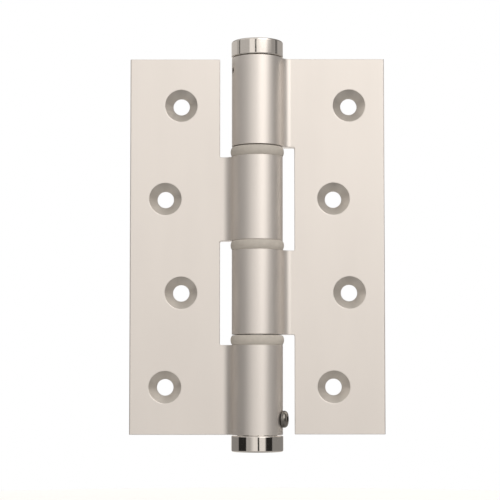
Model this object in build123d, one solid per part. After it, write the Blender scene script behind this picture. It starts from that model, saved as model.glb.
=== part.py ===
"""Spring loaded door hinge: two extruded aluminium leaves, open flat, and a torsion spring in their barrel.

Millimetres. The origin is on the hinge axis at mid height. +Z runs up the axis, the countersunk faces of
both leaves look along -Y, the frame leaf lies at -X and the door leaf at +X. The barrel's sizes are built
up from the tube outwards: tube, bearing sleeve, bore, knuckle wall.
"""

import os
from math import floor, sqrt

from build123d import *

# Steel pivot tube, with the bearing sleeves that turn on it
tube_radius = 7.0
tube_wall = 1.2
tube_end_play = 0.4
running_clearance = 0.05
sleeve_wall = 0.93
sleeve_fit = 0.02
sleeve_shortfall = 0.5  # between a sleeve's end and what comes next in the bore
sleeve_chamfer = 0.3

# Leaves, cut from one extruded bar whose section holds the barrel and the plate
leaf_height = 150.0
leaf_reach = 50.8  # from the hinge axis to the free edge
leaf_thickness = 4.5
closed_gap = 0.8  # between the two countersunk faces when the door is shut
edge_round = 0.5
knuckle_wall = 2.15
neck_round = 4.0  # concave round between barrel and plate, on both faces
notch_clearance = 1.25  # from the end of the neck round to the other leaf's edge
notch_corner = 0.6
milling_overrun = 5.0  # how far the milling runs past the ends of the bar
bore_chamfer = 0.4

# Knuckles: two end knuckles, two inner ones, and a slot between neighbours
end_knuckle = 35.5
knuckle_slot = 4.0
door_lift = 0.15  # the door leaf rides this much higher than the frame leaf

# Countersunk screw holes, staggered so that the heads miss each other when shut
holes_per_leaf = 4
hole_radius = 3.3
countersink_radius = 6.5
end_margin = 18.75  # from the leaf's end to the nearest screw
edge_margin = 14.1  # from the free edge to the outer row
row_stagger = 6.3  # between the outer and the inner row

# Bulging flanges that the sleeves carry in the slots
flange_thickness = 3.8
flange_bulge = 0.5  # how far the rim stands proud of the barrel
flange_inset = 0.15  # how far its upper and lower corners lie inside the barrel

# Chromed plugs that close the barrel and hold the ends of the spring
cap_overhang = 0.175  # how far a cap stands out beyond the barrel
cap_height = 6.4
cap_seam = 0.3
cap_outer_round = 0.7
cap_inner_round = 0.4
plug_fit = 0.04
plug_depth = 12.0
nose_length = 8.0
nose_chamfer = 0.4
key_socket = 6.0  # across flats
key_depth = 4.5
key_chamfer = 0.3

# Torsion spring, square wire
wire = 2.8
coil_clearance = 0.4  # around the coils, in the tube
coil_gap = 0.9  # between turns
bend_swell = 0.1  # the wire's ends are this much thicker, from being bent hot
tang_clearance = 0.15  # on each side of the bent wire in its slot

# Tension screw in the bottom knuckle, and the ring of holes that it can lock
tension_angle = -13.0  # degrees from +X
tension_height = 6.2  # above the bottom end of the frame leaf
tension_holes = 6
thread_radius = 2.0
thread_fit = 0.02
tension_hole_radius = 2.3
tension_hole_depth = 3.0
screw_tip_gap = 0.4
head_radius = 3.4
head_rim = 0.9
head_height = 2.1
head_crown_radius = 1.9
head_gap = 0.05  # between the head and the knuckle
screw_socket = 2.5  # across flats
screw_socket_depth = 1.2
screw_tip_chamfer = 0.4

# Slotted spring pin that fixes the top plug
pin_angle = 196.0  # degrees from +X
pin_depth_below_end = 5.2
pin_radius = 1.25
pin_wall = 0.45
pin_slit = 0.4
pin_length = 6.0
pin_recess = 0.35
pin_fit = 0.01

# Worked out from the sizes above
tube_bore = tube_radius - tube_wall
sleeve_bore = tube_radius + running_clearance
sleeve_radius = sleeve_bore + sleeve_wall
bore_radius = sleeve_radius + sleeve_fit
barrel_radius = bore_radius + knuckle_wall
face_y = closed_gap / 2
back_y = face_y + leaf_thickness
neck_reach = sqrt((barrel_radius + neck_round) ** 2 - (neck_round - face_y) ** 2)
notch_reach = neck_reach + notch_clearance
inner_knuckle = (leaf_height - 2 * end_knuckle - 3 * knuckle_slot) / 2
frame_base = -(leaf_height + door_lift) / 2
door_base = frame_base + door_lift
knuckle_1 = (door_base + leaf_height - end_knuckle, door_base + leaf_height)
knuckle_2_top = frame_base + leaf_height - end_knuckle - knuckle_slot
knuckle_2 = (knuckle_2_top - inner_knuckle, knuckle_2_top)
knuckle_3_end = door_base + end_knuckle + knuckle_slot
knuckle_3 = (knuckle_3_end, knuckle_3_end + inner_knuckle)
knuckle_4 = (frame_base, frame_base + end_knuckle)
plug_radius = bore_radius - plug_fit
cap_radius = barrel_radius + cap_overhang
coil_radius = tube_bore - coil_clearance - wire / 2
bent_wire = wire + bend_swell
tang_slot = bent_wire + 2 * tang_clearance
head_seat = barrel_radius + head_gap  # from the hinge axis

BASE_UP = (Align.CENTER, Align.CENTER, Align.MIN)  # a turned shape that stands on its origin


def leaf_section():
    """The bar's section: a round barrel with a plate behind the axis plane, joined by concave rounds."""
    plate = Rectangle(leaf_reach, leaf_thickness, align=(Align.MIN, Align.MIN))
    section = Circle(barrel_radius) + Pos(0, face_y) * plate
    corners = section.vertices().sort_by(Axis.X)
    section = fillet(corners[-2:], edge_round)
    throat = section.vertices().sort_by(lambda v: abs(v.X - barrel_radius) + abs(v.Y - face_y))[0]
    section = fillet(throat, neck_round)
    meeting_x = sqrt(barrel_radius**2 - back_y**2)
    throat = section.vertices().sort_by(lambda v: abs(v.X - meeting_x) + abs(v.Y - back_y))[0]
    section = fillet(throat, neck_round)
    return section - Circle(bore_radius)


def notch(low, high, base):
    """What is milled away beside another leaf's knuckle, from low to high, with small corner rounds."""
    bottom = low - milling_overrun if low == base else low
    top = high + milling_overrun if high == base + leaf_height else high
    depth = notch_reach + 2 * barrel_radius
    outline = Pos(notch_reach, bottom) * Rectangle(depth, top - bottom, align=(Align.MAX, Align.MIN))
    outline = fillet(outline.vertices().sort_by(Axis.X)[-2:], notch_corner)
    return extrude(Plane.XZ * outline, amount=2 * barrel_radius, both=True)


def screw_hole():
    """Through hole with a 90 degree countersink, open towards +Z from its face at the origin."""
    sink = countersink_radius - hole_radius
    through = Cylinder(hole_radius, 4 * leaf_thickness)
    return through + Pos(0, 0, -sink / 2) * Cone(hole_radius, countersink_radius, sink)


def leaf(knuckles, base, outer_row_first):
    """A leaf on the +X side with the given knuckles, low one first."""
    solid = Pos(0, 0, base) * extrude(leaf_section(), leaf_height)
    edges = [base] + [z for knuckle in knuckles for z in knuckle] + [base + leaf_height]
    for low, high in zip(edges[::2], edges[1::2]):
        if high > low:
            solid -= notch(low, high, base)
    mouth = Cone(bore_radius + bore_chamfer, bore_radius, bore_chamfer, align=BASE_UP)
    for low, high in knuckles:
        solid -= Pos(0, 0, low) * mouth
        solid -= Pos(0, 0, high) * Rot(X=180) * mouth
    pitch = (leaf_height - 2 * end_margin) / (holes_per_leaf - 1)
    outer_row = leaf_reach - edge_margin
    for index in range(holes_per_leaf):
        is_outer = (index % 2 == 0) == outer_row_first
        x = outer_row if is_outer else outer_row - row_stagger
        z = base + end_margin + index * pitch
        solid -= Pos(x, face_y, z) * Rot(X=90) * screw_hole()
    return solid


def radially(angle, height):
    """Location whose +Z points outwards from the hinge axis at the given angle and height."""
    return Pos(0, 0, height) * Rot(Z=angle) * Rot(Y=90)


def frame_leaf():
    """Leaf at -X with the second and the bottom knuckle, and the tapped hole of the tension screw."""
    solid = mirror(leaf((knuckle_4, knuckle_2), frame_base, outer_row_first=True), about=Plane.YZ)
    place = radially(tension_angle, frame_base + tension_height)
    return solid - place * Cylinder(thread_radius + thread_fit, 2 * barrel_radius, align=BASE_UP)


def door_leaf():
    """Leaf at +X with the top and the third knuckle, and the hole of the spring pin."""
    solid = leaf((knuckle_3, knuckle_1), door_base, outer_row_first=False)
    hole = Cylinder(pin_radius + pin_fit, 2 * barrel_radius, align=BASE_UP)
    return solid - radially(pin_angle, knuckle_1[1] - pin_depth_below_end) * hole


def sleeve_section(low, high):
    """Half section of a plain sleeve, chamfered where it enters the bore."""
    return [
        (sleeve_bore, high),
        (sleeve_bore, low),
        (sleeve_radius - sleeve_chamfer, low),
        (sleeve_radius, low + sleeve_chamfer),
    ]


def flanged_bush(seat, knuckle_end):
    """Bearing whose flange lies on a knuckle's upper end at seat, with its sleeve down the bore."""
    low = knuckle_end + sleeve_shortfall
    corner = barrel_radius - flange_inset
    rim = barrel_radius + flange_bulge
    top = seat + flange_thickness
    inner = Polyline(*sleeve_section(low, top), (sleeve_radius, seat), (corner, seat))
    bulge = ThreePointArc((corner, seat), (rim, seat + flange_thickness / 2), (corner, top))
    closing = Line((corner, top), (sleeve_bore, top))
    return revolve(make_face(Plane.XZ * (inner + bulge + closing)), Axis.Z)


def upper_bush():
    return flanged_bush(knuckle_2[1], knuckle_2[0])


def middle_bush():
    return flanged_bush(knuckle_3[1], knuckle_3[0])


def lower_bush():
    return flanged_bush(knuckle_4[1], knuckle_4[0] + plug_depth)


def top_sleeve():
    """Plain bearing sleeve in the top knuckle, below the plug."""
    low = knuckle_1[0] + sleeve_shortfall
    high = knuckle_1[1] - plug_depth - sleeve_shortfall
    outline = Polyline(*sleeve_section(low, high), (sleeve_radius, high), close=True)
    return revolve(make_face(Plane.XZ * outline), Axis.Z)


def pivot_tube():
    """Tube that every knuckle turns on, standing on the shoulder of the tension plug."""
    low = knuckle_4[0] + plug_depth
    high = knuckle_1[1] - plug_depth - tube_end_play
    return Pos(0, 0, low) * extrude(Circle(tube_radius) - Circle(tube_bore), high - low)


def plug(nose_fit):
    """Cap, spigot and slotted nose in one turned piece, cap upwards, with z = 0 at the knuckle's end."""
    cap = Pos(0, 0, cap_seam + cap_height / 2) * Cylinder(cap_radius, cap_height)
    rims = cap.edges().filter_by(GeomType.CIRCLE).sort_by(Axis.Z)
    cap = fillet(rims[-1], cap_outer_round)
    cap = fillet(cap.edges().filter_by(GeomType.CIRCLE).sort_by(Axis.Z)[0], cap_inner_round)
    spigot_length = plug_depth + cap_seam + cap_height / 2
    spigot = Pos(0, 0, -plug_depth + spigot_length / 2) * Cylinder(plug_radius, spigot_length)
    nose_radius = tube_bore - nose_fit
    nose = Pos(0, 0, -plug_depth - nose_length / 2) * Cylinder(nose_radius, nose_length)
    nose = chamfer(nose.edges().filter_by(GeomType.CIRCLE).sort_by(Axis.Z)[0], nose_chamfer)
    slot = Box(4 * nose_radius, tang_slot, 2 * tang_slot)
    return cap + spigot + (nose - Pos(0, 0, -plug_depth - nose_length) * slot)


def top_plug():
    """Fixed plug, pinned to the top knuckle, whose nose turns in the tube."""
    hole_length = pin_recess + pin_length + pin_recess
    hole = Cylinder(pin_radius + pin_fit, hole_length, align=(Align.CENTER, Align.CENTER, Align.MAX))
    place = radially(pin_angle, -pin_depth_below_end) * Pos(0, 0, barrel_radius)
    return Pos(0, 0, knuckle_1[1]) * (plug(running_clearance) - place * hole)


def tension_plug():
    """Plug that winds up the spring, with a key socket below and a ring of locking holes."""
    solid = Rot(X=180) * plug(plug_fit)
    base = -cap_seam - cap_height
    corner_radius = key_socket / sqrt(3)
    socket = extrude(RegularPolygon(corner_radius, 6), key_depth)
    mouth = Cone(corner_radius + key_chamfer, corner_radius, key_chamfer)
    solid -= Pos(0, 0, base) * socket + Pos(0, 0, base + key_chamfer / 2) * mouth
    hole = Cylinder(tension_hole_radius, 2 * tension_hole_depth)
    hole = Pos(0, 0, plug_radius) * hole
    for index in range(tension_holes):
        solid -= radially(tension_angle + index * 360 / tension_holes, tension_height) * hole
    return Pos(0, 0, knuckle_4[0]) * solid


def tang():
    """End of the wire, up from the last turn and then across the middle of the coil."""
    rise = wire + tang_clearance
    riser = Pos(coil_radius, 0, rise / 2) * Box(bent_wire, bent_wire, rise + bent_wire)
    return riser + Pos(0, 0, rise) * Box(2 * coil_radius + bent_wire, bent_wire, bent_wire)


def torsion_spring():
    """Square wire coiled between the two noses, with a tang in the slot of each."""
    start = knuckle_4[0] + plug_depth + nose_length + tang_clearance + wire / 2
    end = knuckle_1[1] - plug_depth - nose_length - tang_clearance - wire / 2
    height = end - start
    turns = floor(height / (wire + coil_gap))
    path = Helix(height / turns, height, coil_radius)
    section = Plane(origin=path @ 0, x_dir=(1, 0, 0), z_dir=path % 0) * Rectangle(wire, wire)
    coil = sweep(section, path, is_frenet=True)
    spring = coil + mirror(tang(), about=Plane.XY) + Pos(0, 0, height) * tang()
    return Pos(0, 0, start) * spring


def tension_screw():
    """Button head screw through the bottom knuckle into one of the plug's locking holes."""
    tip = plug_radius - tension_hole_depth + screw_tip_gap
    shank = Pos(0, 0, tip) * Cylinder(thread_radius, head_seat - tip, align=BASE_UP)
    shank = chamfer(shank.edges().filter_by(GeomType.CIRCLE).sort_by(Axis.Z)[0], screw_tip_chamfer)
    rim_height = head_seat + head_rim
    top = head_seat + head_height
    edge = (head_radius, rim_height)
    crown = (head_crown_radius, top)
    sides = Polyline(crown, (0, top), (0, head_seat), (head_radius, head_seat), edge)
    dome = TangentArc(crown, edge, tangent=(1, 0))
    head = revolve(make_face(Plane.XZ * (sides + dome)), Axis.Z)
    socket = extrude(RegularPolygon(screw_socket / sqrt(3), 6), head_height)
    screw = shank + head - Pos(0, 0, top - screw_socket_depth) * socket
    return radially(tension_angle, knuckle_4[0] + tension_height) * screw


def top_plug_pin():
    """Slotted spring pin through the top knuckle's wall into the plug."""
    ring = Circle(pin_radius) - Circle(pin_radius - pin_wall)
    ring -= Pos(pin_radius, 0) * Rectangle(2 * pin_radius, pin_slit)
    pin = Pos(0, 0, barrel_radius - pin_recess - pin_length) * extrude(ring, pin_length)
    return radially(pin_angle, knuckle_1[1] - pin_depth_below_end) * pin


pieces = (
    frame_leaf,
    door_leaf,
    upper_bush,
    middle_bush,
    lower_bush,
    top_sleeve,
    pivot_tube,
    top_plug,
    tension_plug,
    torsion_spring,
    tension_screw,
    top_plug_pin,
)
os.makedirs("parts", exist_ok=True)
for piece in pieces:
    export_step(piece(), f"parts/{piece.__name__}.step")
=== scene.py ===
# %% [markdown]
# # A spring loaded door hinge
# Two leaves cut from one aluminium extrusion carry four knuckles. Plastic bearings sit between the
# knuckles, chromed plugs close the barrel, and a torsion spring between the plugs pulls the door
# shut. The measured model comes first, as a fixed frame: each piece here stands exactly where its
# solid stands.

# %% Load the measured frame
from math import asin, atan2, cos, degrees, pi, radians, sqrt

import bpy
from mathutils import Matrix, Vector


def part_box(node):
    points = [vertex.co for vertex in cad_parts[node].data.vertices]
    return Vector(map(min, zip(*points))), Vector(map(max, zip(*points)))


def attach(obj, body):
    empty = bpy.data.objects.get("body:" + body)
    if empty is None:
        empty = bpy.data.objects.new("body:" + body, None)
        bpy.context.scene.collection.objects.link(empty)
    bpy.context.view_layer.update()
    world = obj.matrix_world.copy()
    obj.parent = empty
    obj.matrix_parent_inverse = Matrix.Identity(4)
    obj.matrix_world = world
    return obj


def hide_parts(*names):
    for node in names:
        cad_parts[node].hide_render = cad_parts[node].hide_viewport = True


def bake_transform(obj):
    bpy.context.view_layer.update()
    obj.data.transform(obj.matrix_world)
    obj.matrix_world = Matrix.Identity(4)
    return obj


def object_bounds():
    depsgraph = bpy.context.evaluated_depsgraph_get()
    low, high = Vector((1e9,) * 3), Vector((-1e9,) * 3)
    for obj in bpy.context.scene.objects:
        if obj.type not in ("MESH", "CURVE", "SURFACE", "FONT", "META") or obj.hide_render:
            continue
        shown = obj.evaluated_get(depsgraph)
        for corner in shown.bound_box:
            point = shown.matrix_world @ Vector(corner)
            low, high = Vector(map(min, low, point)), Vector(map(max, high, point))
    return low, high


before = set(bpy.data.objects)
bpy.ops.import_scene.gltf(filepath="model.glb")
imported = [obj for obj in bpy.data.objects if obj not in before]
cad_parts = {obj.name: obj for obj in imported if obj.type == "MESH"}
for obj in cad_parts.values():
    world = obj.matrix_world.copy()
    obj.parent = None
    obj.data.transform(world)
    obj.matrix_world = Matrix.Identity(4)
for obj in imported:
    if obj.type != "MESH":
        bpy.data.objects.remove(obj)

MM = 0.001
cad_low, cad_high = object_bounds()
print("nodes:", sorted(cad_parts))
print("size in mm:", [round(side / MM, 2) for side in cad_high - cad_low])

# %% [markdown]
# ## Camera
# A product photo of something this small is taken with a long lens from over half a metre away, so
# that the knuckles keep their proportions. The camera stands a little left of the barrel and at the
# height of the bottom knuckle, which is why the top cap shows its underside and the seams arch
# upwards.

# %% Camera
camera_place = Vector((-0.0039, -0.6527, -0.0556))
camera_target = Vector((-0.0029, 0.0, -0.0177))
bpy.ops.object.select_all(action="DESELECT")
bpy.ops.object.camera_add(location=camera_place)
camera = bpy.context.object
camera.rotation_euler = (camera_target - camera_place).to_track_quat("-Z", "Y").to_euler()
camera.data.lens = 118.4
camera.data.shift_y = 0.08
camera.data.clip_start = 0.01
bpy.context.scene.camera = camera
bpy.context.scene.view_settings.view_transform = "Standard"
print("distance in mm:", round((camera_target - camera_place).length / MM))

# %% [markdown]
# ## Shader nodes in one line each
# Every finish below is a small graph of shader nodes. One helper adds a node, sets its properties
# and either links or fills its inputs, so that each graph reads from top to bottom like a recipe.

# %% A helper for node graphs
def add(tree, kind, inputs=(), **settings):
    """Add a shader node. An input given as a socket is linked, and any other value is filled in."""
    made = tree.nodes.new(kind)
    for name, value in settings.items():
        setattr(made, name, value)
    for name, value in dict(inputs).items():
        if isinstance(value, bpy.types.NodeSocket):
            tree.links.new(value, made.inputs[name])
        else:
            made.inputs[name].default_value = value
    return made


def ramp(tree, factor, stops):
    """Colour ramp through (position, grey or colour) stops, read at factor."""
    made = add(tree, "ShaderNodeValToRGB", {"Fac": factor})
    elements = made.color_ramp.elements
    while len(elements) < len(stops):
        elements.new(1.0)
    for element, (position, tone) in zip(elements, stops):
        element.position = position
        element.color = (*tone, 1.0) if isinstance(tone, tuple) else (tone, tone, tone, 1.0)
    return made.outputs["Color"]


# %% [markdown]
# ## Studio
# Polished and satin metal show their surroundings, so the room is part of the finish. Lamps would
# do, but a painted world is easier to tune: each soft box or dark card is a window in the sphere
# round the hinge, laid out in degrees to the right of the camera's side and up from the horizon.

# %% Angles round the hinge
world = bpy.data.worlds.new("studio_room")
bpy.context.scene.world = world
world.use_nodes = True
tree = world.node_tree
tree.nodes.clear()
direction = add(tree, "ShaderNodeTexCoord").outputs["Generated"]
split = add(tree, "ShaderNodeSeparateXYZ", {"Vector": direction})


def calculate(tree, operation, first, second=0.0):
    """One step of arithmetic with sockets or numbers."""
    return add(tree, "ShaderNodeMath", {0: first, 1: second}, operation=operation).outputs["Value"]


towards_us = calculate(tree, "MULTIPLY", split.outputs["Y"], -1.0)
azimuth = calculate(tree, "DEGREES", calculate(tree, "ARCTAN2", split.outputs["X"], towards_us))
elevation = calculate(tree, "DEGREES", calculate(tree, "ARCSINE", split.outputs["Z"]))
print("nodes that find both angles:", len(tree.nodes))

# %% [markdown]
# A window is bounded by four soft steps, two for each angle. Every side is given as a place and a
# softness in degrees, because satin metal shows where a soft box fades as clearly as where it
# stands. A window is either painted over what is there, like a card, or added to it, like a light.

# %% Windows in the room
def rise(angle, place, softness):
    """0 below a place in degrees and 1 above it, easing over the softness."""
    return add(
        tree,
        "ShaderNodeMapRange",
        {"Value": angle, "From Min": place - softness / 2, "From Max": place + softness / 2},
        interpolation_type="SMOOTHSTEP",
    ).outputs["Result"]


def between(angle, low, high):
    """1 between two sides and 0 beyond them. Each side is a place and a softness."""
    return calculate(tree, "SUBTRACT", rise(angle, *low), rise(angle, *high))


def window(left, right, bottom, top, across=azimuth):
    """1 inside four sides and 0 outside."""
    columns = between(across, left, right)
    rows = between(elevation, bottom, top)
    return calculate(tree, "MULTIPLY", columns, rows)


def paint(room, place, radiance):
    """Paint a place in the room with a radiance, instead of what was there."""
    painted = add(tree, "ShaderNodeMix", {0: place, 2: room, 3: radiance}, data_type="FLOAT")
    return painted.outputs[0]


def shine(room, place, radiance):
    """Add light to the room in one place."""
    return calculate(tree, "ADD", room, calculate(tree, "MULTIPLY", place, radiance))


# %% [markdown]
# The walls are grey: lightest on the left, where the light comes back from the wall, and dim behind
# the hinge. The ceiling is light. The strip below the horizon is dark, which leaves the lower cap
# its contrast, and the floor of the room is lighter again, so that the hinge isn't black when it is
# seen from above.

# %% Walls, ceiling and floor of the room
room = add(tree, "ShaderNodeValue").outputs[0]
room.default_value = 0.17
walls = (
    ((-138, 16), (-92, 4), 0.4),
    ((-92, 4), (-34, 10), 0.48),
    ((-34, 10), (52, 14), 0.34),
    ((52, 14), (92, 4), 0.32),
    ((92, 4), (134, 16), 0.2),
)
for left, right, radiance in walls:
    room = paint(room, between(azimuth, left, right), radiance)
ceiling = rise(elevation, 66, 16)
below_horizon = calculate(tree, "SUBTRACT", 1.0, rise(elevation, 2, 8))
room_floor = between(elevation, (-62, 16), (-17, 6))
room = paint(room, ceiling, 0.7)
room = paint(room, below_horizon, 0.25)
room = paint(room, room_floor, 0.44)
print("walls round the hinge:", len(walls))

# %% [markdown]
# A low soft box fills the lens's own height, and a high one to the right gives the barrel its broad
# highlight. A faint one lifts the left side. Two pale cards behind the hinge light the outer edges
# of the caps, and a last box straight behind it lights the hinge's back.

# %% Soft boxes
low_box = window((-35, 6), (44, 20), (-14, 6), (45, 50))
high_box = window((8, 26), (60, 26), (14, 9), (60, 20))
left_box = window((-110, 24), (-30, 40), (18, 12), (60, 20))
room = shine(room, low_box, 0.54)
room = shine(room, high_box, 1.88)
room = shine(room, left_box, 0.2)
for left, right, radiance in (((-162, 8), (-102, 10), 0.57), ((102, 10), (162, 8), 0.4)):
    room = paint(room, window(left, right, (5, 4), (20, 8)), radiance)
backwards = calculate(tree, "ABSOLUTE", azimuth)
back_box = window((163, 10), (190, 1), (-30, 10), (45, 20), across=backwards)
room = shine(room, back_box, 0.75)
print("nodes with the soft boxes:", len(tree.nodes))

# %% [markdown]
# Chrome looks like chrome only when something dark stands in it. Two black cards stand at the
# lens's height, the left one with a grey one beside it. The lens's own shade, which leans a little,
# leaves a thin dark line in both caps. The seams where the side walls end are dark as well.

# %% Black cards, the lens shade and the seams of the walls
black = 0.02
lens_height = ((-14, 4), (2.5, 2))
room = paint(room, window((-91, 4), (-50, 3), *lens_height), black)
room = paint(room, window((-50, 3), (-24, 24), *lens_height), 0.4)
room = paint(room, window((36, 10), (69, 4), *lens_height), black)
lean = 0.86              # degrees sideways for each degree up
leaning = calculate(tree, "ADD", azimuth, calculate(tree, "MULTIPLY", elevation, lean))
for bottom, top in ((-5, 0.5), (10.5, 13)):
    shade_line = window((-0.5, 1.5), (6.5, 1.5), (bottom, 1), (top, 1), across=leaning)
    room = paint(room, shade_line, black)
half_seam = 3
for seam in (-86, 92):
    room = paint(room, window((seam - half_seam, 1), (seam + half_seam, 1), (4, 2), (26, 12)), 0.08)
print("nodes with the dark parts:", len(tree.nodes))

# %% [markdown]
# The backdrop has to be white, which is far brighter than the walls that the metal should show.
# Light Path tells camera rays apart, so the camera alone sees white and no extra light falls on the
# metal. The room's own light is a little warm.

# %% The room seen by the camera and by the metal
is_camera = add(tree, "ShaderNodeLightPath").outputs["Is Camera Ray"]
warm = (1.0, 0.955, 0.91, 1.0)
white = (1.0, 1.0, 1.0, 1.0)
tint = add(tree, "ShaderNodeMix", {0: is_camera, 6: warm, 7: white}, data_type="RGBA").outputs[2]
strength = paint(room, is_camera, 1.0)
shade = add(tree, "ShaderNodeBackground", {"Color": tint, "Strength": strength})
add(tree, "ShaderNodeOutputWorld", {"Surface": shade.outputs["Background"]})
print(world.name, "has nodes:", len(tree.nodes))

# %% [markdown]
# The floor lies below the hinge and doesn't touch it, because the hinge is made to be screwed to a
# door frame and not to stand. It is a plain disc. Its own colour is pale, and for camera rays a
# little light of its own lifts it to white outside the shadow. Reflections leave it out, because
# the painted room has a floor of its own.

# %% Floor
floor_drop = 0.04
floor_radius = 0.42
floor_glow = 0.45
floor_height = cad_low.z - floor_drop
bpy.ops.object.select_all(action="DESELECT")
bpy.ops.mesh.primitive_circle_add(
    vertices=64, radius=floor_radius, fill_type="NGON", location=(0, 0, floor_height)
)
floor = bpy.context.object
bpy.ops.object.transform_apply(location=True)
floor.name = "floor"
material = bpy.data.materials.new("pale_floor")
material.use_nodes = True
tree = material.node_tree
surface = tree.nodes["Principled BSDF"]
surface.inputs["Base Color"].default_value = (0.85, 0.84, 0.82, 1.0)
surface.inputs["Roughness"].default_value = 0.9
rays = add(tree, "ShaderNodeLightPath")
glow = add(tree, "ShaderNodeEmission", {"Color": white, "Strength": floor_glow})
both = add(tree, "ShaderNodeAddShader", {0: surface.outputs["BSDF"], 1: glow.outputs["Emission"]})
chosen = add(
    tree,
    "ShaderNodeMixShader",
    {0: rays.outputs["Is Camera Ray"], 1: surface.outputs["BSDF"], 2: both.outputs["Shader"]},
)
tree.links.new(chosen.outputs["Shader"], tree.nodes["Material Output"].inputs["Surface"])
floor.data.materials.append(material)
floor.visible_glossy = False
print("floor at mm:", round(floor_height / MM, 1), "radius in mm:", round(floor_radius / MM))

# %% [markdown]
# ## Finishes
# Each finish is drawn in the piece's own coordinates, in millimetres, so that the grain has its
# real size and stays put when the hinge turns. Image textures would need a fitted map for every
# piece. Noise that is stretched along one axis makes press lines, lathe rings and grain alike, so
# one helper serves all finishes.

# %% Noise, roughness and bumps for all finishes
def millimetres(tree, stretch=(1.0, 1.0, 1.0)):
    """The piece's own coordinates in millimetres, each axis multiplied by its stretch."""
    place = add(tree, "ShaderNodeTexCoord").outputs["Object"]
    scale = [factor / MM for factor in stretch]
    return add(tree, "ShaderNodeMapping", {"Vector": place, "Scale": scale}).outputs["Vector"]


def noise(tree, stretch, scale, detail=2.0):
    """Noise with about scale lumps in a millimetre, stretched along chosen axes."""
    return add(
        tree,
        "ShaderNodeTexNoise",
        {"Vector": millimetres(tree, stretch), "Scale": scale, "Detail": detail},
    ).outputs["Fac"]


def new_finish(name, metallic):
    """An empty finish: its material, its node tree and its surface node."""
    made = bpy.data.materials.new(name)
    made.use_nodes = True
    surface = made.node_tree.nodes["Principled BSDF"]
    surface.inputs["Metallic"].default_value = metallic
    return made, made.node_tree, surface


def spread(tree, factor, low, high):
    """Turn noise between about 0.3 and 0.7 into a value from low to high."""
    return add(
        tree,
        "ShaderNodeMapRange",
        {"Value": factor, "From Min": 0.3, "From Max": 0.7, "To Min": low, "To Max": high},
    ).outputs["Result"]


def bump(tree, surface, layers):
    """Stack bumps on a surface, each layer a height and how deep it is in millimetres."""
    normal = None
    for field, depth in layers:
        inputs = {"Height": field, "Distance": depth * MM, "Strength": 1.0}
        if normal is not None:
            inputs["Normal"] = normal
        normal = add(tree, "ShaderNodeBump", inputs).outputs["Normal"]
    tree.links.new(normal, surface.inputs["Normal"])


# %% [markdown]
# ** Satin anodised aluminium.** The bar is etched before it is anodised, which leaves a fine matt
# grain, and the press leaves faint lines along its length. The oxide film is clear, so a thin coat
# goes over the metal. Milled faces have their lines across the bar. The turned countersinks get a
# darker base colour, which is painted shade for the recess.

# %% Satin anodised aluminium
def anodised_aluminium(name, lines, tone, roughness):
    """Etched and anodised metal. lines stretches the press or tool marks along x, y and z."""
    made, tree, surface = new_finish(name, 1.0)
    cloud = noise(tree, (1, 1, 0.3), scale=0.06)
    grain = noise(tree, (1, 1, 1), scale=5.0)
    streaks = noise(tree, lines, scale=2.2, detail=3.0)
    shade = ramp(tree, cloud, [(0.35, tuple(0.975 * part for part in tone)), (0.65, tone)])
    tree.links.new(shade, surface.inputs["Base Color"])
    worn = calculate(tree, "MULTIPLY", calculate(tree, "ADD", grain, streaks), 0.5)
    gloss = spread(tree, worn, roughness - 0.04, roughness + 0.04)
    tree.links.new(gloss, surface.inputs["Roughness"])
    surface.inputs["Coat Weight"].default_value = 0.12
    surface.inputs["Coat Roughness"].default_value = 0.3
    bump(tree, surface, [(streaks, 0.0035), (grain, 0.0012)])
    return made


satin = anodised_aluminium("satin_anodised", (1.0, 1.0, 0.01), (0.90, 0.859, 0.818), 0.44)
milled = anodised_aluminium("milled_anodised", (1.0, 0.04, 1.0), (0.87, 0.83, 0.79), 0.44)
# The countersinks' darker base colour is painted shade for the recess. Their marks and roughness
# are the metal's own.
countersink_painted_shade = anodised_aluminium("countersink_anodised_painted_shade", (1.0, 1.0, 1.0), (0.74, 0.71, 0.67), 0.4)
print("finishes of the leaves:", [finish.name for finish in (satin, milled, countersink_painted_shade)])

# %% [markdown]
# **Bearing plastic.** Acetal parts come from the mould with a fine matt texture. The warm grey is
# in the plastic itself, so there is no paint and only the faintest mottling.

# %% Bearing plastic
def bearing_plastic():
    """Moulded acetal in warm grey."""
    made, tree, surface = new_finish("moulded_acetal", 0.0)
    mottle = noise(tree, (1, 1, 1), scale=0.5, detail=4.0)
    texture = noise(tree, (1, 1, 1), scale=7.0)
    shade = ramp(tree, mottle, [(0.35, (0.535, 0.502, 0.455)), (0.65, (0.575, 0.54, 0.49))])
    tree.links.new(shade, surface.inputs["Base Color"])
    tree.links.new(spread(tree, texture, 0.48, 0.6), surface.inputs["Roughness"])
    bump(tree, surface, [(texture, 0.004)])
    return made


plastic = bearing_plastic()
print(plastic.name, "has nodes:", len(plastic.node_tree.nodes))

# %% [markdown]
# **Polished chrome.** The plugs are turned, polished and plated. Faint rings are left from the
# lathe, and a long slow wave keeps the reflections from being ruler straight.

# %% Polished chrome
def polished_chrome():
    """Turned, polished and plated steel."""
    made, tree, surface = new_finish("plated_chrome", 1.0)
    rings = noise(tree, (0.02, 0.02, 1.0), scale=6.0)
    wave = noise(tree, (1, 1, 0.5), scale=0.25, detail=1.0)
    haze = noise(tree, (1, 1, 1), scale=1.2, detail=4.0)
    shade = ramp(tree, haze, [(0.3, (0.87, 0.83, 0.785)), (0.7, (0.9, 0.86, 0.815))])
    tree.links.new(shade, surface.inputs["Base Color"])
    tree.links.new(spread(tree, haze, 0.05, 0.1), surface.inputs["Roughness"])
    bump(tree, surface, [(wave, 0.004), (rings, 0.0003)])
    return made


chrome = polished_chrome()
print(chrome.name, "has nodes:", len(chrome.node_tree.nodes))

# %% [markdown]
# **Steels.** The tube is ground, the spring is oil tempered and dark, and the screw and pin are
# plated. They share one graph: marks that run round or along the piece, a cloudy tone and a
# roughness of their own.

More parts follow.
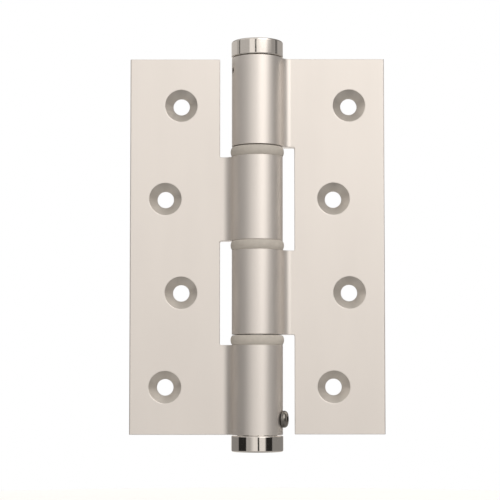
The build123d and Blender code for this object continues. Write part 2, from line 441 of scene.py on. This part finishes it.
# %% Steels
def steel(name, dark, light, roughness, marks):
    """Bare or plated steel. marks stretches its scratches along x, y and z."""
    made, tree, surface = new_finish(name, 1.0)
    cloud = noise(tree, (1, 1, 1), scale=0.4, detail=4.0)
    scratches = noise(tree, marks, scale=4.0, detail=3.0)
    gloss = spread(tree, scratches, roughness - 0.06, roughness + 0.06)
    tree.links.new(ramp(tree, cloud, [(0.35, dark), (0.65, light)]), surface.inputs["Base Color"])
    tree.links.new(gloss, surface.inputs["Roughness"])
    bump(tree, surface, [(scratches, 0.003)])
    return made


tube_steel = steel("ground_tube_steel", (0.54, 0.53, 0.51), (0.62, 0.61, 0.59), 0.26, (0.1, 0.1, 1))
spring_steel = steel("oil_tempered_steel", (0.16, 0.15, 0.14), (0.27, 0.25, 0.23), 0.34, (1, 1, 1))
screw_steel = steel("plated_screw_steel", (0.22, 0.21, 0.195), (0.29, 0.275, 0.255), 0.2, (1, 1, 1))
print("steels:", [finish.name for finish in (tube_steel, spring_steel, screw_steel)])

# %% [markdown]
# ## Drawing
# The real pieces are extruded, turned, drilled and milled, and Blender's operators do the same
# here. An outline is drawn with one vertex as the pen. It is then extruded along the bar or spun
# round the axis, and cutters take material away. Everything is drawn in millimetres and shrunk to
# metres when it is finished.

# %% Draw an outline
def alone(piece):
    """Make this piece the only one selected, and the active one."""
    bpy.ops.object.select_all(action="DESELECT")
    piece.select_set(True)
    bpy.context.view_layer.objects.active = piece


def outline(name, start, strokes, upright=False, facet=2.5):
    """Draw an outline with one vertex as the pen, flat on z = 0 or upright on y = 0.

    A stroke is a point to go straight to, or a centre and an angle in degrees to go round that
    centre, anticlockwise where the angle is positive, with about facet degrees to a step.
    """

    def place(point):
        return Vector((point[0], 0, point[1])) if upright else Vector((point[0], point[1], 0))

    axis = Vector((0, 1, 0)) if upright else Vector((0, 0, -1))
    bpy.ops.object.select_all(action="DESELECT")
    bpy.ops.mesh.primitive_plane_add(size=1, location=place(start))
    piece = bpy.context.object
    piece.name = name
    bpy.ops.object.transform_apply(location=True)
    bpy.ops.object.mode_set(mode="EDIT")
    bpy.ops.mesh.select_mode(type="VERT")
    bpy.ops.mesh.merge(type="CENTER")
    pen = place(start)
    for stroke in strokes:
        if isinstance(stroke[0], tuple):
            centre, angle = place(stroke[0]), radians(stroke[1])
            steps = max(5, round(abs(stroke[1]) / facet))
            bpy.ops.mesh.spin(steps=steps, angle=angle, center=centre, axis=axis)
            pen = centre + Matrix.Rotation(angle, 3, -axis) @ (pen - centre)
        else:
            step = place(stroke) - pen
            bpy.ops.mesh.extrude_region_move(TRANSFORM_OT_translate={"value": step})
            pen = place(stroke)
    bpy.ops.mesh.select_all(action="SELECT")
    bpy.ops.mesh.remove_doubles(threshold=0.002)
    bpy.ops.object.mode_set(mode="OBJECT")
    return piece


# %% [markdown]
# ## Leaves
# Both leaves are cut from the same extruded bar: a round barrel with a plate behind it, joined by
# concave rounds. A cylinder joined to a box would miss those rounds, so the bar's section is drawn
# as one outline. Only the reach, the height and the barrel come from the measured model, and the
# other sizes are the bar's own.

# %% Sizes of the bar
door_low, door_high = (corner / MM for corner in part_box("door_leaf"))
frame_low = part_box("frame_leaf")[0] / MM
reach = door_high.x
barrel_radius = door_high.y
wall = 2.15
bore_radius = barrel_radius - wall
face_y = 0.4
back_y = 4.9
edge_round = 0.5
neck_round = 4.0
bore_chamfer = 0.4
deburring = 0.12
neck_x = sqrt((barrel_radius + neck_round) ** 2 - (neck_round - face_y) ** 2)
rear_x = sqrt((barrel_radius + neck_round) ** 2 - (neck_round + back_y) ** 2)
neck_angle = degrees(atan2(neck_round - face_y, neck_x))
rear_angle = degrees(atan2(neck_round + back_y, rear_x))
print("barrel radius:", round(barrel_radius, 3), "reach:", round(reach, 2))
print("neck at:", round(neck_x, 3), "rear round at:", round(rear_x, 3))

# %% [markdown]
# The outline starts where the plate leaves the barrel, runs round the plate's edge and back, and
# goes once round the barrel. As on the real bar, the cut ends get the milled finish and the sides
# keep the satin one.

# %% Extrude the bar
door_leaf = outline(
    "door_leaf_cut",
    (neck_x, face_y),
    [
        (reach - edge_round, face_y),
        ((reach - edge_round, face_y + edge_round), 90),
        (reach, back_y - edge_round),
        ((reach - edge_round, back_y - edge_round), 90),
        (rear_x, back_y),
        ((rear_x, back_y + neck_round), rear_angle - 90),
        ((0, 0), 360 - neck_angle - rear_angle),
        ((neck_x, face_y - neck_round), neck_angle - 90),
    ],
)
bpy.ops.object.mode_set(mode="EDIT")
bpy.ops.mesh.select_all(action="SELECT")
bpy.ops.mesh.edge_face_add()
bpy.ops.transform.translate(value=(0, 0, door_low.z))
bpy.ops.mesh.extrude_region_move(TRANSFORM_OT_translate={"value": (0, 0, door_high.z - door_low.z)})
bpy.ops.mesh.select_all(action="SELECT")
bpy.ops.mesh.normals_make_consistent(inside=False)
bpy.ops.object.mode_set(mode="OBJECT")
door_leaf.data.materials.append(satin)
door_leaf.data.materials.append(milled)
for face in door_leaf.data.polygons:
    face.material_index = 1 if abs(face.normal.z) > 0.9 else 0
print("bar:", len(door_leaf.data.vertices), "vertices")

# %% [markdown]
# Four knuckles share the barrel: the door leaf has the first and the third, and the frame leaf the
# other two. A milling cutter takes away the barrel in between, a little past the neck, and leaves
# its own round in the corners. A block with two bevelled edges and a Boolean modifier do the same.

# %% Cutting tools
def cut(piece, cutter):
    """Take the cutter's shape out of the piece. The cut faces get the cutter's finish."""
    alone(piece)
    bpy.ops.object.modifier_add(type="BOOLEAN")
    modifier = piece.modifiers[-1]
    modifier.operation = "DIFFERENCE"
    modifier.solver = "EXACT"
    modifier.material_mode = "TRANSFER"
    modifier.object = cutter
    bpy.ops.object.modifier_apply(modifier=modifier.name)


def discard(cutter):
    """Delete a cutter that has done its work."""
    alone(cutter)
    bpy.ops.object.delete()


# %% Mill out the places of the other leaf's knuckles
end_knuckle = 35.5
knuckle_slot = 4.0
notch_past_neck = 1.25
notch_corner = 0.6
past = 5.0               # how far a cutter reaches past the metal
notch_reach = neck_x + notch_past_neck
inner_knuckle = (door_high.z - door_low.z - 2 * end_knuckle - 3 * knuckle_slot) / 2
third_low = door_low.z + end_knuckle + knuckle_slot
knuckle_1 = (door_high.z - end_knuckle, door_high.z)
knuckle_3 = (third_low, third_low + inner_knuckle)
for low, high in ((door_low.z - past, knuckle_3[0]), (knuckle_3[1], knuckle_1[0])):
    left = -barrel_radius - past
    middle = ((left + notch_reach) / 2, 0, (low + high) / 2)
    bpy.ops.object.select_all(action="DESELECT")
    bpy.ops.mesh.primitive_cube_add(size=1, location=middle)
    block = bpy.context.object
    block.scale = (notch_reach - left, 2 * barrel_radius + past, high - low)
    bpy.ops.object.transform_apply(location=True, scale=True)
    bpy.ops.object.mode_set(mode="EDIT")
    bpy.ops.mesh.select_mode(type="EDGE")
    bpy.ops.mesh.select_all(action="DESELECT")
    bpy.ops.object.mode_set(mode="OBJECT")
    for edge in block.data.edges:
        first, second = (block.data.vertices[index].co for index in edge.vertices)
        at_corner = first.x > 0 and second.x > 0 and abs(first.y - second.y) > 1
        edge.select = at_corner
    bpy.ops.object.mode_set(mode="EDIT")
    bpy.ops.mesh.bevel(offset=notch_corner, segments=8)
    bpy.ops.object.mode_set(mode="OBJECT")
    block.data.materials.append(milled)
    cut(door_leaf, block)
    discard(block)
print("knuckles at:", [tuple(round(z, 3) for z in knuckle) for knuckle in (knuckle_1, knuckle_3)])

# %% [markdown]
# Holes are bored from cylinders, and an end face that is extruded and scaled opens a cylinder at 45
# degrees. The same tool makes the chamfered bores of the knuckles here and the countersunk screw
# holes after them.

# %% A drill that can countersink
def drill(radius, low, high, low_flare=0.0, high_flare=0.0, sides=96):
    """Round cutter along z from low to high. Past an end, a flare opens it at 45 degrees."""
    bpy.ops.object.select_all(action="DESELECT")
    bpy.ops.mesh.primitive_cylinder_add(
        vertices=sides, radius=radius, depth=high - low, location=(0, 0, (low + high) / 2)
    )
    cutter = bpy.context.object
    bpy.ops.object.transform_apply(location=True)
    for end, flare in ((-1, low_flare), (1, high_flare)):
        if flare:
            alone(cutter)
            bpy.ops.object.mode_set(mode="EDIT")
            bpy.ops.mesh.select_all(action="DESELECT")
            bpy.ops.object.mode_set(mode="OBJECT")
            for face in cutter.data.polygons:
                face.select = face.normal.z * end > 0.9
            bpy.ops.object.mode_set(mode="EDIT")
            bpy.ops.mesh.extrude_region_move(TRANSFORM_OT_translate={"value": (0, 0, end * flare)})
            wider = (radius + flare) / radius
            bpy.ops.transform.resize(value=(wider, wider, 1), center_override=(0, 0, 0))
            bpy.ops.object.mode_set(mode="OBJECT")
    return cutter


# %% Bore the knuckles
mouth = 0.5              # how far a flare opens past the surface
for low, high in (knuckle_1, knuckle_3):
    over = bore_chamfer + mouth
    bore = drill(bore_radius, low + bore_chamfer, high - bore_chamfer, over, over, sides=144)
    bore.data.materials.append(milled)
    cut(door_leaf, bore)
    discard(bore)
print("bore radius:", round(bore_radius, 3))

# %% [markdown]
# Four screws hold each leaf. They are staggered in two rows, so that they don't split the door's
# edge, and countersunk, so that the leaves can fold flat onto each other. A last chamfer breaks the
# sharp edges of the leaf.

# %% Moving a piece, and breaking its edges
def shift(piece, step):
    """Move a piece's mesh, while its object stays at the origin."""
    alone(piece)
    piece.location = step
    bpy.ops.object.transform_apply(location=True)


def turn(piece, angles):
    """Turn a piece's mesh about the origin by Euler angles in degrees."""
    alone(piece)
    piece.rotation_euler = [radians(angle) for angle in angles]
    bpy.ops.object.transform_apply(rotation=True)


def break_edges(piece, width, angle=35):
    """Chamfer every edge that is sharper than angle, as deburring does."""
    alone(piece)
    bpy.ops.object.modifier_add(type="BEVEL")
    modifier = piece.modifiers[-1]
    modifier.width = width
    modifier.segments = 1
    modifier.limit_method = "ANGLE"
    modifier.angle_limit = radians(angle)
    modifier.use_clamp_overlap = False
    bpy.ops.object.modifier_apply(modifier=modifier.name)


# %% Drill and countersink the staggered screw holes
hole_radius = 3.3
countersink_radius = 6.5
end_margin = 18.75
side_margin = 14.1
stagger = 6.3
row_x = (reach - side_margin - stagger, reach - side_margin)       # inner and outer row
sink = countersink_radius - hole_radius
pitch = (door_high.z - door_low.z - 2 * end_margin) / 3
for index in range(4):
    tool = drill(hole_radius, -2 * back_y, -sink, high_flare=sink + mouth)
    # The countersink's cut faces get the finish whose darker colour is painted shade.
    tool.data.materials.append(countersink_painted_shade)
    turn(tool, (90, 0, 0))
    shift(tool, (row_x[index % 2], face_y, door_low.z + end_margin + index * pitch))
    cut(door_leaf, tool)
    discard(tool)
break_edges(door_leaf, deburring)
print("screw rows at:", [round(x, 2) for x in row_x], "pitch:", round(pitch, 2))

# %% [markdown]
# Turned upside down, the same bar is the frame leaf: its knuckles then fill the gaps of the door
# leaf's. A hinge maker cuts both leaves with one set of tools for that reason, and a copy of the
# mesh is all it takes here.

# %% Copy the cut bar for the frame leaf
alone(door_leaf)
bpy.ops.object.duplicate()
frame_leaf = bpy.context.object
frame_leaf.name = "frame_leaf_cut"
turn(frame_leaf, (0, 180, 0))
print(frame_leaf.name, "vertices:", len(frame_leaf.data.vertices))

# %% [markdown]
# Each leaf then gets a hole of its own. The frame leaf's bottom knuckle is tapped for the tension
# screw, and a cross hole for a spring pin goes into the door leaf's top knuckle. Both point at the
# hinge's axis.

# %% Cross holes
def radially(piece, angle, height):
    """Point a piece that was made along z outwards from the hinge axis."""
    turn(piece, (0, 90, 0))
    turn(piece, (0, 0, angle))
    shift(piece, (0, 0, height))


tension_angle = -13
tension_height = 6.2
tension_z = frame_low.z + tension_height
thread_radius = 2.0
thread_fit = 0.02
hole = drill(thread_radius + thread_fit, 0, barrel_radius + past)
hole.data.materials.append(milled)
radially(hole, tension_angle, tension_z)
cut(frame_leaf, hole)
discard(hole)
pin_angle = 196
pin_drop = 5.2
pin_z = door_high.z - pin_drop
pin_radius = 1.25
pin_fit = 0.01
hole = drill(pin_radius + pin_fit, 0, barrel_radius + past, sides=48)
hole.data.materials.append(milled)
radially(hole, pin_angle, pin_z)
cut(door_leaf, hole)
discard(hole)
print("cross holes at:", round(tension_z, 2), "and", round(pin_z, 2))

# %% [markdown]
# A finished piece takes the place of its solid. Its mesh shrinks to metres while its object stays
# at the origin, unturned and unscaled, as the export needs it. The piece is told which body it
# rides on, and the printed distance shows how well it fills its solid's box.

# %% Hand over the leaves
def hand_over(piece, node, body=None):
    """Shrink a finished piece to metres, shade it, and let it stand for its solid on a body."""
    alone(piece)
    piece.scale = (MM, MM, MM)
    bpy.ops.object.transform_apply(scale=True)
    bpy.ops.object.shade_smooth_by_angle(angle=radians(28))
    bpy.ops.object.modifier_add(type="WEIGHTED_NORMAL")
    piece.modifiers[-1].keep_sharp = True
    bpy.ops.object.modifier_apply(modifier=piece.modifiers[-1].name)
    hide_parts(node)
    if body:
        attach(piece, body)
    low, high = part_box(node)
    corners = [piece.matrix_world @ Vector(corner) for corner in piece.bound_box]
    off = max((corners[0] - low).length, (corners[6] - high).length) / MM
    print(piece.name, "polygons:", len(piece.data.polygons), "off its box by mm:", round(off, 3))


hand_over(door_leaf, "door_leaf", "door")
hand_over(frame_leaf, "frame_leaf", "frame")

# %% [markdown]
# ## Bearings
# Three moulded bearings carry the leaves on each other. Each is a long sleeve inside a knuckle, and
# a flange that bulges out between two knuckles. One half section is drawn for each and spun, as on
# a lathe. That keeps the flange's round and the sleeve's chamfer in one outline, where a cylinder
# and a torus would have to be joined.

# %% Turn an outline
def turned(name, start, strokes, sides=144):
    """Spin an upright outline round the z axis, the way a lathe does."""
    piece = outline(name, start, strokes, upright=True, facet=9)
    bpy.ops.object.mode_set(mode="EDIT")
    bpy.ops.mesh.select_all(action="SELECT")
    bpy.ops.mesh.spin(steps=sides, angle=2 * pi, center=(0, 0, 0), axis=(0, 0, 1))
    bpy.ops.mesh.select_all(action="SELECT")
    bpy.ops.mesh.remove_doubles(threshold=0.002)
    bpy.ops.mesh.normals_make_consistent(inside=False)
    bpy.ops.object.mode_set(mode="OBJECT")
    return piece


# %% Bearings
sleeve_wall = 0.93
sleeve_fit = 0.02
sleeve_radius = bore_radius - sleeve_fit
sleeve_bore = sleeve_radius - sleeve_wall
sleeve_chamfer = 0.3
flange_thickness = 3.8
flange_inset = 0.15
flange_overhang = 0.5
flange_corner = barrel_radius - flange_inset
flange_rim = barrel_radius + flange_overhang
bulge = flange_rim - flange_corner
bulge_radius = ((flange_thickness / 2) ** 2 + bulge ** 2) / (2 * bulge)
bulge_angle = degrees(2 * atan2(flange_thickness / 2, bulge_radius - bulge))
for node, body in (("upper_bush", "frame"), ("middle_bush", "door"), ("lower_bush", "frame")):
    low, high = (corner.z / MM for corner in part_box(node))
    seat = high - flange_thickness
    bush = turned(
        node + "_moulded",
        (sleeve_bore, high),
        [
            (sleeve_bore, low),
            (sleeve_radius - sleeve_chamfer, low),
            (sleeve_radius, low + sleeve_chamfer),
            (sleeve_radius, seat),
            (flange_corner, seat),
            ((flange_rim - bulge_radius, (seat + high) / 2), bulge_angle),
            (sleeve_bore, high),
        ],
    )
    break_edges(bush, 0.1)
    bush.data.materials.append(plastic)
    hand_over(bush, node, body)

# %% [markdown]
# ## Plugs
# A plug is turned in one piece: the chromed cap, a spigot in the bore and a nose whose slot holds
# the spring. Both plugs share one outline and one sawn slot, so a function makes them. The top plug
# is then drilled for the spring pin that holds it.

# %% A turned plug
cap_overhang = 0.175
cap_radius = barrel_radius + cap_overhang
cap_height = 6.4
cap_seam = 0.3
outer_round = 0.7
inner_round = 0.4
plug_fit = 0.04
plug_radius = bore_radius - plug_fit
plug_depth = 12.0
nose_length = 8.0
nose_chamfer = 0.4
tube_bore = 5.8
wire = 2.8
bent_wire = wire + 0.1   # a bend thickens the wire
tang_clearance = 0.15
tang_slot = bent_wire + 2 * tang_clearance
print("cap radius:", round(cap_radius, 3), "plug radius:", round(plug_radius, 3))


def plug(name, nose_radius):
    """Plug with its cap upwards and z = 0 at the knuckle's end."""
    top = cap_seam + cap_height
    nose_end = -plug_depth - nose_length
    piece = turned(
        name,
        (0, top),
        [
            (cap_radius - outer_round, top),
            ((cap_radius - outer_round, top - outer_round), -90),
            (cap_radius, cap_seam + inner_round),
            ((cap_radius - inner_round, cap_seam + inner_round), -90),
            (plug_radius, cap_seam),
            (plug_radius, -plug_depth),
            (nose_radius, -plug_depth),
            (nose_radius, nose_end + nose_chamfer),
            (nose_radius - nose_chamfer, nose_end),
            (0, nose_end),
        ],
    )
    piece.data.materials.append(chrome)
    bpy.ops.object.select_all(action="DESELECT")
    bpy.ops.mesh.primitive_cube_add(size=1, location=(0, 0, nose_end))
    saw = bpy.context.object
    saw.scale = (4 * nose_radius, tang_slot, 2 * tang_slot)
    bpy.ops.object.transform_apply(location=True, scale=True)
    saw.data.materials.append(chrome)
    cut(piece, saw)
    discard(saw)
    return piece


# %% Top plug
top_nose_fit = 0.05
top_plug = plug("top_plug_turned", tube_bore - top_nose_fit)
shift(top_plug, (0, 0, door_high.z))
pin_length = 6.0
pin_recess = 0.35
hole_end = barrel_radius - pin_length - 2 * pin_recess
hole = drill(pin_radius + pin_fit, hole_end, barrel_radius + past, sides=48)
hole.data.materials.append(chrome)
radially(hole, pin_angle, pin_z)
cut(top_plug, hole)
discard(hole)
hand_over(top_plug, "top_plug", "door")

# %% [markdown]
# The tension plug is the same part the other way up. A key turns it by the hexagon socket in its
# cap and so winds the spring. A hexagon is a cylinder with six sides, and a short cone breaks the
# socket's mouth.

# %% Tension plug with its key socket
tension_nose_fit = 0.04
tension_plug = plug("tension_plug_turned", tube_bore - tension_nose_fit)
turn(tension_plug, (180, 0, 0))
shift(tension_plug, (0, 0, frame_low.z))
key_socket = 6.0
key_depth = 4.5
key_chamfer = 0.3
corner_radius = key_socket / sqrt(3)
base = frame_low.z - cap_seam - cap_height
bpy.ops.object.select_all(action="DESELECT")
bpy.ops.mesh.primitive_cylinder_add(
    vertices=6, radius=corner_radius, depth=key_depth, location=(0, 0, base + key_depth / 2)
)
key = bpy.context.object
bpy.ops.object.transform_apply(location=True)
turn(key, (0, 0, 30))
key.data.materials.append(chrome)
cut(tension_plug, key)
discard(key)
bpy.ops.object.select_all(action="DESELECT")
bpy.ops.mesh.primitive_cone_add(
    vertices=96, radius1=corner_radius + key_chamfer, radius2=corner_radius, depth=key_chamfer,
    location=(0, 0, base + key_chamfer / 2),
)
cone = bpy.context.object
bpy.ops.object.transform_apply(location=True)
cone.data.materials.append(chrome)
cut(tension_plug, cone)
discard(cone)
print("key socket across flats:", key_socket)

# %% [markdown]
# A ring of six holes lets the tension screw lock the plug every 60 degrees. As on a dividing head,
# one drill is pointed at the axis and turned on by a sixth of a turn for each hole.

# %% Locking holes
lock_count = 6
lock_radius = 2.3
lock_depth = 3.0
for index in range(lock_count):
    hole = drill(lock_radius, plug_radius - lock_depth, plug_radius + past, sides=48)
    hole.data.materials.append(chrome)
    radially(hole, tension_angle + 360 / lock_count * index, tension_z)
    cut(tension_plug, hole)
    discard(hole)
hand_over(tension_plug, "tension_plug", "frame")

# %% [markdown]
# ## Tension screw
# A small button head screw goes through the bottom knuckle into one of the plug's locking holes,
# and its head bears on the round knuckle. The head's dome is an arc, so head and core are turned as
# one outline.

# %% Turn the screw
head_radius = 3.4
head_rim = 0.9
head_height = 2.1
head_crown_radius = 1.9
seat_gap = 0.05
head_seat = barrel_radius + seat_gap
tip_gap = 0.4
screw_tip = plug_radius - lock_depth + tip_gap
tip_chamfer = 0.4
head_top = head_seat + head_height
dome_width = head_radius - head_crown_radius
dome_drop = head_height - head_rim
dome_radius = (dome_width ** 2 + dome_drop ** 2) / (2 * dome_drop)
dome_angle = degrees(atan2(dome_width, dome_radius - dome_drop))
thread_depth = 0.4
core_radius = thread_radius - thread_depth
screw = turned(
    "tension_screw_turned",
    (0, head_top),
    [
        (head_crown_radius, head_top),
        ((head_crown_radius, head_top - dome_radius), -dome_angle),
        (head_radius, head_seat),
        (core_radius, head_seat),
        (core_radius, screw_tip + tip_chamfer),
        (core_radius - tip_chamfer, screw_tip),
        (0, screw_tip),
    ],
    sides=96,
)
screw.data.materials.append(screw_steel)
print("screw reaches from:", round(screw_tip, 2), "to", round(head_top, 2))

# %% [markdown]
# A thread is one ridge that climbs round the core. The Screw modifier sweeps the ridge's outline
# that way, and it will coil the spring's wire too. A ring of separate grooves would look the same
# from afar but wouldn't climb.

# %% Sweep an outline round the axis
def swept_round(piece, pitch, turns, steps):
    """Sweep a closed upright outline round z, rising by pitch each turn, and close both ends."""
    alone(piece)
    bpy.ops.object.modifier_add(type="SCREW")
    modifier = piece.modifiers[-1]
    modifier.axis = "Z"
    modifier.angle = 2 * pi
    modifier.screw_offset = pitch
    modifier.iterations = turns
    modifier.steps = steps
    modifier.render_steps = steps
    modifier.use_merge_vertices = False
    bpy.ops.object.modifier_apply(modifier=modifier.name)
    bpy.ops.object.mode_set(mode="EDIT")
    bpy.ops.mesh.select_all(action="SELECT")
    bpy.ops.mesh.remove_doubles(threshold=0.0005)
    bpy.ops.mesh.fill_holes(sides=32)
    bpy.ops.mesh.select_all(action="SELECT")
    bpy.ops.mesh.normals_make_consistent(inside=False)
    bpy.ops.object.mode_set(mode="OBJECT")


def unite(piece, other):
    """Melt another closed shape into the piece."""
    alone(piece)
    bpy.ops.object.modifier_add(type="BOOLEAN")
    modifier = piece.modifiers[-1]
    modifier.operation = "UNION"
    modifier.solver = "EXACT"
    modifier.object = other
    bpy.ops.object.modifier_apply(modifier=modifier.name)
    discard(other)


# %% Thread
thread_pitch = 0.7
thread_low = screw_tip + tip_chamfer
thread_turns = int((head_seat - thread_low) / thread_pitch) - 1
ridge_root = core_radius - 0.1
crest_low = thread_low + 0.42 * thread_pitch
crest_high = thread_low + 0.54 * thread_pitch
ridge_high = thread_low + 0.96 * thread_pitch
ridge = outline(
    "ridge",
    (ridge_root, thread_low),
    [
        (thread_radius, crest_low),
        (thread_radius, crest_high),
        (ridge_root, ridge_high),
        (ridge_root, thread_low),
    ],
    upright=True,
)
swept_round(ridge, thread_pitch, thread_turns, 48)
ridge.data.materials.append(screw_steel)
unite(screw, ridge)
print("turns of thread:", thread_turns)

# %% [markdown]
# A key fits the screw's head as well. The cylinder with six sides is centred on the head's top, so
# that half of it cuts the socket. The edges are broken while the screw still stands upright, and
# then it is pointed at the axis like the hole that it goes into.

# %% Socket in the head
screw_socket = 2.5
socket_depth = 1.2
bpy.ops.object.select_all(action="DESELECT")
bpy.ops.mesh.primitive_cylinder_add(
    vertices=6, radius=screw_socket / sqrt(3), depth=2 * socket_depth, location=(0, 0, head_top)
)
socket = bpy.context.object
bpy.ops.object.transform_apply(location=True)
turn(socket, (0, 0, 30))
socket.data.materials.append(screw_steel)
cut(screw, socket)
discard(socket)
break_edges(screw, 0.06)
radially(screw, tension_angle, tension_z)
hand_over(screw, "tension_screw", "frame")

# %% [markdown]
# ## Spring pin
# The pin that holds the top plug is a piece of rolled strip: a tube with a slit along it. Its end
# lies a little below the knuckle's surface, so that from outside it reads as a small dark hole. The
# slit is part of the outline, and the pin is that outline extruded.

# %% Roll the pin
pin_wall = 0.45
half_slit = 0.2
outer_gap = degrees(asin(half_slit / pin_radius))
inner_gap = degrees(asin(half_slit / (pin_radius - pin_wall)))
pin = outline(
    "top_plug_pin_rolled",
    (pin_radius * cos(radians(outer_gap)), half_slit),
    [
        ((0, 0), 360 - 2 * outer_gap),
        ((pin_radius - pin_wall) * cos(radians(inner_gap)), -half_slit),
        ((0, 0), 2 * inner_gap - 360),
    ],
    facet=7.5,
)
bpy.ops.object.mode_set(mode="EDIT")
bpy.ops.mesh.select_all(action="SELECT")
bpy.ops.mesh.edge_face_add()
bpy.ops.transform.translate(value=(0, 0, barrel_radius - pin_recess - pin_length))
bpy.ops.mesh.extrude_region_move(TRANSFORM_OT_translate={"value": (0, 0, pin_length)})
bpy.ops.mesh.select_all(action="SELECT")
bpy.ops.mesh.normals_make_consistent(inside=False)
bpy.ops.object.mode_set(mode="OBJECT")
break_edges(pin, 0.06, angle=60)
pin.data.materials.append(screw_steel)
radially(pin, pin_angle, pin_z)
hand_over(pin, "top_plug_pin", "door")

# %% [markdown]
# ## Torsion spring
# Square wire is coiled hot round a bar. It fills the narrow tube better than round wire does, so
# the spring is stronger for its size. The wire's section is drawn once, with rounded corners, and
# swept along the helix. The number of turns is worked out from the room that the plugs leave.

# %% Coil the spring
coil_radius = 4.0
coil_gap = 0.9
wire_round = 0.3
half_wire = wire / 2
coil_low = frame_low.z + plug_depth + nose_length + tang_clearance + half_wire
coil_high = door_high.z - plug_depth - nose_length - tang_clearance - half_wire
coil_turns = int((coil_high - coil_low) / (wire + coil_gap))
coil_pitch = (coil_high - coil_low) / coil_turns
inner = coil_radius - half_wire
outer = coil_radius + half_wire
flat = half_wire - wire_round
spring = outline(
    "torsion_spring_coiled",
    (inner + wire_round, coil_low - half_wire),
    [
        (outer - wire_round, coil_low - half_wire),
        ((outer - wire_round, coil_low - flat), 90),
        (outer, coil_low + flat),
        ((outer - wire_round, coil_low + flat), 90),
        (inner + wire_round, coil_low + half_wire),
        ((inner + wire_round, coil_low + flat), 90),
        (inner, coil_low - flat),
        ((inner + wire_round, coil_low - flat), 90),
    ],
    upright=True,
    facet=30,
)
swept_round(spring, coil_pitch, coil_turns, 48)
print("turns:", coil_turns, "pitch in mm:", round(coil_pitch, 3))

# %% [markdown]
# Each end of the wire is bent up and across the coil, so that it sits in a plug's slot. When the
# door swings, the coil has to twist between the plugs. A piece that rides on one body can't do
# that, so the spring is put on neither body.

# %% Bend the ends across the coil
climb = wire + tang_clearance


def tang(side):
    """Wire that leaves the coil's end along z and then crosses the axis. side is 1 at the top."""
    start = coil_high if side == 1 else coil_low
    foot = (coil_radius, 0, start - side * half_wire)
    bpy.ops.object.select_all(action="DESELECT")
    bpy.ops.mesh.primitive_plane_add(size=bent_wire, location=foot)
    piece = bpy.context.object
    bpy.ops.object.transform_apply(location=True)
    bpy.ops.object.mode_set(mode="EDIT")
    bpy.ops.mesh.select_all(action="SELECT")
    bpy.ops.mesh.extrude_region_move(TRANSFORM_OT_translate={"value": (0, 0, side * climb)})
    bend = (coil_radius - half_wire, 0, start + side * (climb - half_wire))
    bpy.ops.mesh.spin(steps=8, angle=side * pi / 2, center=bend, axis=(0, 1, 0))
    across = 2 * coil_radius - half_wire
    bpy.ops.mesh.extrude_region_move(TRANSFORM_OT_translate={"value": (-across, 0, 0)})
    bpy.ops.mesh.select_all(action="SELECT")
    bpy.ops.mesh.remove_doubles(threshold=0.001)
    bpy.ops.mesh.normals_make_consistent(inside=False)
    bpy.ops.object.mode_set(mode="OBJECT")
    return piece


for side in (-1, 1):
    unite(spring, tang(side))
spring.data.materials.append(spring_steel)
hand_over(spring, "torsion_spring")
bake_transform(spring)

# %% [markdown]
# ## Tube and sleeve
# The steel tube that the knuckles turn on and the plain sleeve in the top knuckle are simple rings
# inside the barrel. Their solids are right as they are, so they stay and only get a finish.

# %% Finish the tube and the sleeve
for node, finish in (("pivot_tube", tube_steel), ("top_sleeve", plastic)):
    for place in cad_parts[node].material_slots:
        place.material = finish
    print(node, "wears", finish.name)
